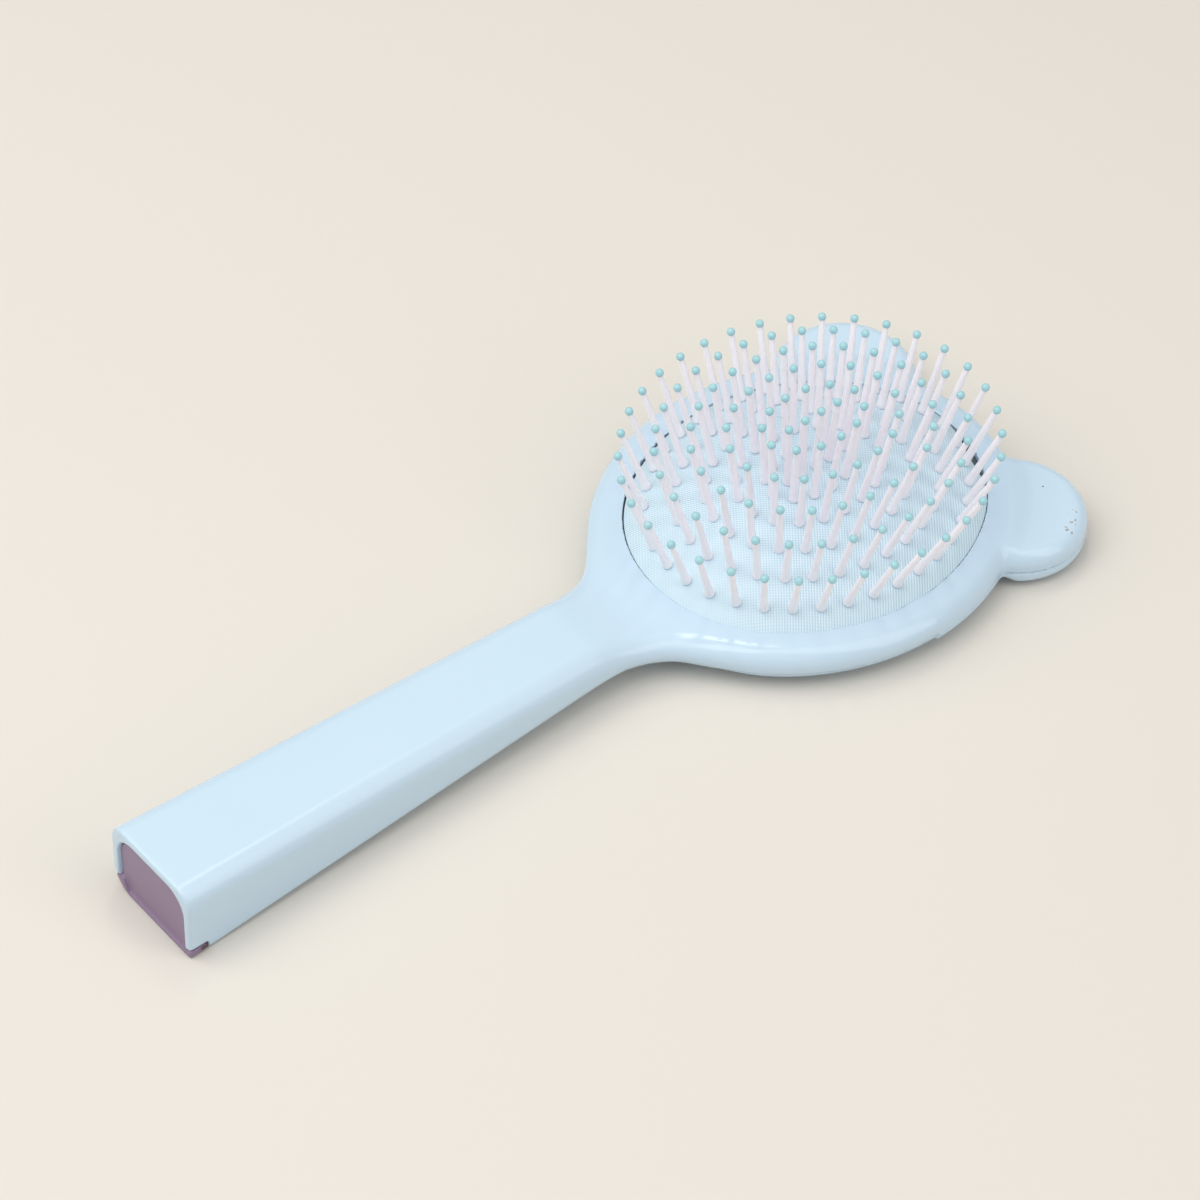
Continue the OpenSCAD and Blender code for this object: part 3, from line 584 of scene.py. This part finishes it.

# The edge has drawn back from the lip in a few places and sunk there, which leaves a dark wedge,
# deepened by the painted shade of the tuck. Each place has a heading, a spread in degrees and a gap, and
# below 0 the rubber presses closer.
edge_gap, gap_sink = 0.08, 0.6
drawn_back = ((-17, 10, 2.0), (120, 30, 0.45), (60, 12, 0.3), (240, 60, -0.04))
lip_gap = np.full(steps_round, edge_gap)
for heading, spread_by, gap in drawn_back:
    off = (np.degrees(turn) - heading + 180) % 360 - 180
    lip_gap += gap * np.exp(-(off / spread_by) ** 2)


def rubber_ring(share, drop, inset=0.0):
    """Points at a share of the way out to the lip, a drop below the skin."""
    reach = (lip_reach - lip_gap - inset) * share
    x, y = reach * np.cos(turn), reach * np.sin(turn)
    inset_here = -from_edge(x, y)
    sink = gap_sink * (lip_gap - edge_gap) * np.maximum(0, 1 - inset_here / (2 * tuck_w)) ** 2
    return np.stack([head_x + x, y, dome_height(inset_here) - sink - drop], 1)


def level_ring(inset, height):
    """Points at a distance in from the opening's edge, all at one height."""
    reach = lip_reach - inset
    return np.stack([head_x + reach * np.cos(turn), reach * np.sin(turn), np.full(steps_round, height)], 1)


shares = 1 - np.linspace(0, 1, steps_in, endpoint=False) ** crowding
outer = [rubber_ring(share, 0) for share in shares]
inner = [rubber_ring(share, rubber_t, 1.0) for share in shares[::-1]]
lip_under = rim_top - lip_t
flange_in, flange_bend, flange_out = 3.0, 1.6, 0.15 - ledge_w
flange_top, flange_foot = lip_under - 0.02, lip_under - flange_t
rings = [level_ring(flange_in, flange_foot), level_ring(flange_out, flange_foot),
         level_ring(flange_out, flange_top), level_ring(flange_bend, flange_top)] + outer
points = np.concatenate(rings + inner)
faces = []


def bridge(first, second):
    """Faces between two rings of points, by their places in the list of rings."""
    for i in range(steps_round):
        j = (i + 1) % steps_round
        faces.append((first * steps_round + i, first * steps_round + j,
                      second * steps_round + j, second * steps_round + i))


for k in range(len(rings) - 1):
    bridge(k, k + 1)
crown = len(rings) - 1
faces.append(tuple(crown * steps_round + i for i in range(steps_round)))
faces.append(tuple((crown + 1) * steps_round + i for i in reversed(range(steps_round))))
for k in range(len(rings), len(rings) + len(inner) - 1):
    bridge(k, k + 1)
bridge(len(rings) + len(inner) - 1, 0)
cushion_mesh = bpy.data.meshes.new("rubber_cushion")
cushion_mesh.from_pydata((points * MM).tolist(), [], faces)
cushion_mesh.update()
cushion_mesh.shade_smooth()
cushion_mesh.set_sharp_from_angle(angle=math.radians(50))

# Painted shade darkens the rubber's lowest part, in the tuck, and less on the side facing the user.
painted_shade_top, painted_shade_fade = 9.25, 0.4
less_shade_heading, less_shade_spread, less_shade_share = -110, 75, 0.75
off = (np.degrees(np.arctan2(points[:, 1], points[:, 0] - head_x)) - less_shade_heading + 180) % 360 - 180
shade_by_heading = 1 - less_shade_share * np.exp(-(off / less_shade_spread) ** 2)
tuck_shade_amount = cushion_mesh.attributes.new("tuck_shade_amount", "FLOAT", "POINT")
tuck_shade_amount.data.foreach_set("value", np.clip((painted_shade_top - points[:, 2]) / painted_shade_fade, 0, 1) * shade_by_heading)

# Moulded rubber with a fine square grid of ribs, too low to stand out as shapes. Their light and dark
# lines are painted light and shade in the colour, from the ribs' relief, one set clearer on the far side
# and one on the near side, and both fading out near the handle. A painted shade in the tuck under the lip
# draws a dark line there.
ribbed_rubber, tree = material("ribbed_rubber")
place = add(tree, "ShaderNodeTexCoord").outputs["Object"]
rib_pitch, rib_heading = 0.56 * MM, math.radians(-52)
turned = add(tree, "ShaderNodeMapping", {"Vector": place, "Rotation": (0, 0, rib_heading)})
axes = add(tree, "ShaderNodeSeparateXYZ", {"Vector": turned.outputs["Vector"]})
across = add(tree, "ShaderNodeSeparateXYZ", {"Vector": place}).outputs
waves = []
for axis, near_height, far_height in (("X", 0.0, 1.7), ("Y", 1.4, 0.5)):
    phase = add(tree, "ShaderNodeMath", {0: axes.outputs[axis], 1: 2 * math.pi / rib_pitch},
                operation="MULTIPLY")
    wave = add(tree, "ShaderNodeMath", {0: phase.outputs["Value"]}, operation="SINE")
    height = add(tree, "ShaderNodeMapRange", {"Value": across["Y"], "From Min": -open_b * MM,
                 "From Max": 0.5 * open_b * MM, "To Min": near_height, "To Max": far_height})
    waves.append(add(tree, "ShaderNodeMath", {0: wave.outputs["Value"], 1: height.outputs["Result"]},
                     operation="MULTIPLY").outputs["Value"])
grid = add(tree, "ShaderNodeMath", {0: waves[0], 1: waves[1]})
uneven = add(tree, "ShaderNodeTexNoise", {"Vector": place, "Scale": 45.0, "Detail": 3.0})
rib_fade_at, rib_fade_per_metre = on_head(-38, -10, 10), 25.0
from_worn = add(tree, "ShaderNodeVectorMath", {0: place, 1: rib_fade_at}, operation="DISTANCE")
ribs_left = add(tree, "ShaderNodeMath", {0: from_worn.outputs["Value"], 1: rib_fade_per_metre,
                2: uneven.outputs["Fac"]}, operation="MULTIPLY_ADD")
rib_depth = add(tree, "ShaderNodeMapRange", {"Value": ribs_left.outputs["Value"], "From Min": 0.65,
                "From Max": 1.2, "To Min": 0.15, "To Max": 1.15})
relief = add(tree, "ShaderNodeMath", {0: grid.outputs["Value"], 1: rib_depth.outputs["Result"]},
             operation="MULTIPLY")
bump = add(tree, "ShaderNodeBump", {"Strength": 1.0, "Distance": 0.012 * MM,
           "Height": relief.outputs["Value"]})
# The ribs' light and shade is painted into the colour: lighter on the crests, darker in the troughs.
rib_shade_share = add(tree, "ShaderNodeMapRange", {"Value": relief.outputs["Value"], "From Min": -1.4,
           "From Max": 1.4})
rib_light_and_shade = add(tree, "ShaderNodeMix", {"Factor": rib_shade_share.outputs["Result"], "A": linear("#BED9E8"),
            "B": linear("#E0F5FE")}, data_type="RGBA")
# The tuck's painted shade: a near-black that this attribute mixes into the rubber's colour.
tuck_shade_input = add(tree, "ShaderNodeAttribute", attribute_name="tuck_shade_amount")
tint = add(tree, "ShaderNodeMix", {"Factor": tuck_shade_input.outputs["Fac"], "A": rib_light_and_shade.outputs["Result"],
           "B": linear("#182223")}, data_type="RGBA")
skin = add(tree, "ShaderNodeBsdfPrincipled", {"Base Color": tint.outputs["Result"], "Roughness": 0.5,
           "IOR": 1.5, "Normal": bump.outputs["Normal"]})
add(tree, "ShaderNodeOutputMaterial", {"Surface": skin.outputs["BSDF"]})

cushion = link_mesh("rubber_cushion", cushion_mesh, ribbed_rubber)
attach(cushion, "brush")
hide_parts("cushion")
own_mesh(cushion)

# Each pin has a flat head under the rubber, a neck through it, a bulbous foot on it and a slim taper
# up to the ball. They stand in five oval rings and a middle row and lean outwards, each as if it came
# up from one far point below, at a depth that differs along and across the head.
ring_pins = (36, 30, 24, 18, 12)
ring_phase = (0.6, 0.47, 0.36, 0.29, 0.16)
ring_inset, ring_pitch_x, ring_pitch_y = 4.15, 6.3, 6.0
row_pins, row_pitch = 4, 3.75
fan_x, fan_y = 94.0, 69.0
pin_len, ball_r = 15.8, 0.9


def lathe(name, profile, sides):
    """A closed solid of revolution about Z, from a profile of radii and heights in millimetres that
    starts and ends on the axis."""
    made = bmesh.new()
    ends = [made.verts.new((0, 0, profile[i][1] * MM)) for i in (0, -1)]
    rings = []
    for radius, height in profile[1:-1]:
        rings.append([made.verts.new((radius * MM * math.cos(2 * math.pi * i / sides),
                                      radius * MM * math.sin(2 * math.pi * i / sides), height * MM))
                      for i in range(sides)])
    for i in range(sides):
        j = (i + 1) % sides
        made.faces.new((ends[0], rings[0][j], rings[0][i]))
        made.faces.new((ends[1], rings[-1][i], rings[-1][j]))
        for below, above in zip(rings, rings[1:]):
            made.faces.new((below[i], below[j], above[j], above[i]))
    mesh = bpy.data.meshes.new(name)
    made.to_mesh(mesh)
    made.free()
    mesh.shade_smooth()
    mesh.set_sharp_from_angle(angle=math.radians(55))
    return mesh


# Radii and heights from the skin of the rubber: head, neck, foot, and the shaft up into the ball.
pin_profile = [(0, -2.37), (1.7, -2.37), (1.7, -1.67), (0.75, -1.67), (0.75, 0.05), (0.95, 0.15),
               (1.1, 0.45), (1.1, 0.8), (0.96, 1.5), (0.89, 2.6), (0.82, 6.0), (0.71, 11.0),
               (0.62, 15.1), (0.4, 15.2), (0, 15.3)]
ball_profile = [(ball_r * math.sin(a), pin_len - ball_r * math.cos(a)) for a in np.linspace(0, math.pi, 11)]


def spread_tree(name, in_ring):
    """Geometry Nodes that repeat the incoming piece along an oval or a row, each copy leaning by its
    place, as the pins of the cushion do."""
    tree = bpy.data.node_groups.new(name, "GeometryNodeTree")
    sockets = {"Piece": "Geometry", "Count": "Int", "Half length": "Float", "Half width": "Float",
               "First place": "Float", "Height": "Float", "Middle": "Float", "Meet along": "Float",
               "Meet across": "Float", "Finish": "Material"}
    for socket, kind in sockets.items():
        tree.interface.new_socket(name=socket, in_out="INPUT", socket_type="NodeSocket" + kind)
    tree.interface.new_socket(name="Pieces", in_out="OUTPUT", socket_type="NodeSocketGeometry")
    given = add(tree, "NodeGroupInput").outputs
    index = add(tree, "GeometryNodeInputIndex").outputs["Index"]
    start = add(tree, "ShaderNodeMath", {0: index, 1: given["First place"]}, operation="ADD")
    share = add(tree, "ShaderNodeMath", {0: start.outputs["Value"], 1: given["Count"]}, operation="DIVIDE")
    if in_ring:
        circle = add(tree, "GeometryNodeCurvePrimitiveCircle", {"Resolution": 360, "Radius": 1.0})
        sizes = add(tree, "ShaderNodeCombineXYZ", {"X": given["Half length"],
                    "Y": given["Half width"], "Z": 1.0})
        oval = add(tree, "GeometryNodeTransform", {"Geometry": circle.outputs["Curve"],
                   "Scale": sizes.outputs["Vector"]})
        sample = add(tree, "GeometryNodeSampleCurve", {"Curves": oval.outputs["Geometry"],
                     "Factor": share.outputs["Value"]}, mode="FACTOR")
        spot = sample.outputs["Position"]
    else:
        across_row = add(tree, "ShaderNodeMapRange", {"Value": share.outputs["Value"]})
        tree.links.new(given["Half length"], across_row.inputs["To Max"])
        back = add(tree, "ShaderNodeMath", {0: given["Half length"], 1: -1.0}, operation="MULTIPLY")
        tree.links.new(back.outputs["Value"], across_row.inputs["To Min"])
        spot = add(tree, "ShaderNodeCombineXYZ", {"X": across_row.outputs["Result"]}).outputs["Vector"]
    meet = add(tree, "ShaderNodeCombineXYZ", {"X": given["Meet along"], "Y": given["Meet across"],
               "Z": 1.0})
    lean = add(tree, "ShaderNodeVectorMath", {0: spot, 1: meet.outputs["Vector"]}, operation="DIVIDE")
    axis = add(tree, "ShaderNodeVectorMath", {0: lean.outputs["Vector"], 1: (0, 0, 1)}, operation="ADD")
    tilt = add(tree, "FunctionNodeAlignRotationToVector", {"Vector": axis.outputs["Vector"]}, axis="Z")
    centre = add(tree, "ShaderNodeCombineXYZ", {"X": given["Middle"], "Z": given["Height"]})
    at = add(tree, "ShaderNodeVectorMath", {0: spot, 1: centre.outputs["Vector"]}, operation="ADD")
    spots = add(tree, "GeometryNodePoints", {"Count": given["Count"], "Position": at.outputs["Vector"]})
    copies = add(tree, "GeometryNodeInstanceOnPoints", {"Points": spots.outputs["Points"],
                 "Instance": given["Piece"], "Rotation": tilt.outputs["Rotation"]})
    real = add(tree, "GeometryNodeRealizeInstances", {"Geometry": copies.outputs["Instances"]})
    dressed = add(tree, "GeometryNodeSetMaterial", {"Geometry": real.outputs["Geometry"],
                  "Material": given["Finish"]})
    add(tree, "NodeGroupOutput", {"Pieces": dressed.outputs["Geometry"]})
    return tree


def spread(name, piece_mesh, tree, sizes, finish):
    """One plain mesh of all the copies that a tree makes of a piece."""
    made = bpy.data.objects.new(name, piece_mesh)
    bpy.context.scene.collection.objects.link(made)
    modifier = made.modifiers.new("spread", "NODES")
    modifier.node_group = tree
    inputs = [item for item in tree.interface.items_tree if item.in_out == "INPUT"]
    known = {item.name: item.identifier for item in inputs}
    for socket, value in {**sizes, "Finish": finish}.items():
        modifier[known[socket]] = value
    ready = made.evaluated_get(bpy.context.evaluated_depsgraph_get())
    plain = bpy.data.meshes.new_from_object(ready)
    made.modifiers.clear()
    made.data = plain
    plain.name = name
    return made


# White nylon, moulded. It is slightly translucent, so a shaft looks pale and soft right through. A
# faint pink in its colour is a painted reflection of what lies round it.
white_nylon, tree = material("white_nylon")
place = add(tree, "ShaderNodeTexCoord").outputs["Object"]
flow = add(tree, "ShaderNodeTexNoise", {"Vector": place, "Scale": 700.0, "Detail": 2.0})
# The faint pink in both colours is a painted reflection, not the nylon's own colour.
nylon_white_and_painted_pink = add(tree, "ShaderNodeMix", {"Factor": flow.outputs["Fac"], "A": linear("#FFF8FF"),
                 "B": linear("#FBF2FC")}, data_type="RGBA")
bump = add(tree, "ShaderNodeBump", {"Strength": 1.0, "Distance": 0.001 * MM, "Height": flow.outputs["Fac"]})
skin = add(tree, "ShaderNodeBsdfPrincipled", {"Base Color": nylon_white_and_painted_pink.outputs["Result"], "Roughness": 0.4,
           "IOR": 1.53, "Subsurface Weight": 0.6, "Subsurface Radius": (1.0, 0.85, 0.9),
           "Subsurface Scale": 1.5 * MM, "Normal": bump.outputs["Normal"]})
add(tree, "ShaderNodeOutputMaterial", {"Surface": skin.outputs["BSDF"]})

# The tips are dipped in aqua nylon, which sets as a smooth glossy bead. The eye gets one small bright
# glint on each, and a tint that is not quite even, since the dip pools as it sets.
dipped_aqua_nylon, tree = material("dipped_aqua_nylon")
place = add(tree, "ShaderNodeTexCoord").outputs["Object"]
pool = add(tree, "ShaderNodeTexNoise", {"Vector": place, "Scale": 500.0, "Detail": 1.0})
bead_tint = add(tree, "ShaderNodeMix", {"Factor": pool.outputs["Fac"], "A": linear("#9ED2DA"),
                "B": linear("#B0DDE4")}, data_type="RGBA")
bead = add(tree, "ShaderNodeBsdfPrincipled", {"Base Color": bead_tint.outputs["Result"], "Roughness": 0.13,
           "IOR": 1.53})
add(tree, "ShaderNodeOutputMaterial", {"Surface": bead.outputs["BSDF"]})

ring_tree = spread_tree("ring_of_pins", True)
row_tree = spread_tree("row_of_pins", False)
groups = []
for k, count in enumerate(ring_pins):
    inset = ring_inset + k * ring_pitch_y
    groups.append(("ring_%d" % (k + 1), ring_tree, {
        "Count": count, "First place": ring_phase[k], "Height": float(dome_height(inset)) * MM,
        "Half length": (open_a - ring_inset - k * ring_pitch_x) * MM, "Half width": (open_b - inset) * MM}))
groups.append(("row", row_tree, {
    "Count": row_pins, "First place": 0.5, "Height": float(dome_height(end_r)) * MM,
    "Half length": row_pins * row_pitch / 2 * MM}))
kinds = (("pins", pin_profile, 24, white_nylon, "pin_nylon"),
         ("tips", ball_profile, 20, dipped_aqua_nylon, "tip_nylon"))
for group, spread_by, sizes in groups:
    sizes.update({"Middle": head_x * MM, "Meet along": fan_x * MM, "Meet across": fan_y * MM})
    for kind, profile, sides, finish, slot in kinds:
        piece = spread("nylon_%s_%s" % (kind, group), lathe(kind, profile, sides), spread_by, sizes, finish)
        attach(piece, "pins_body_" + group)
        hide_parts("%s_%s" % (kind, group))
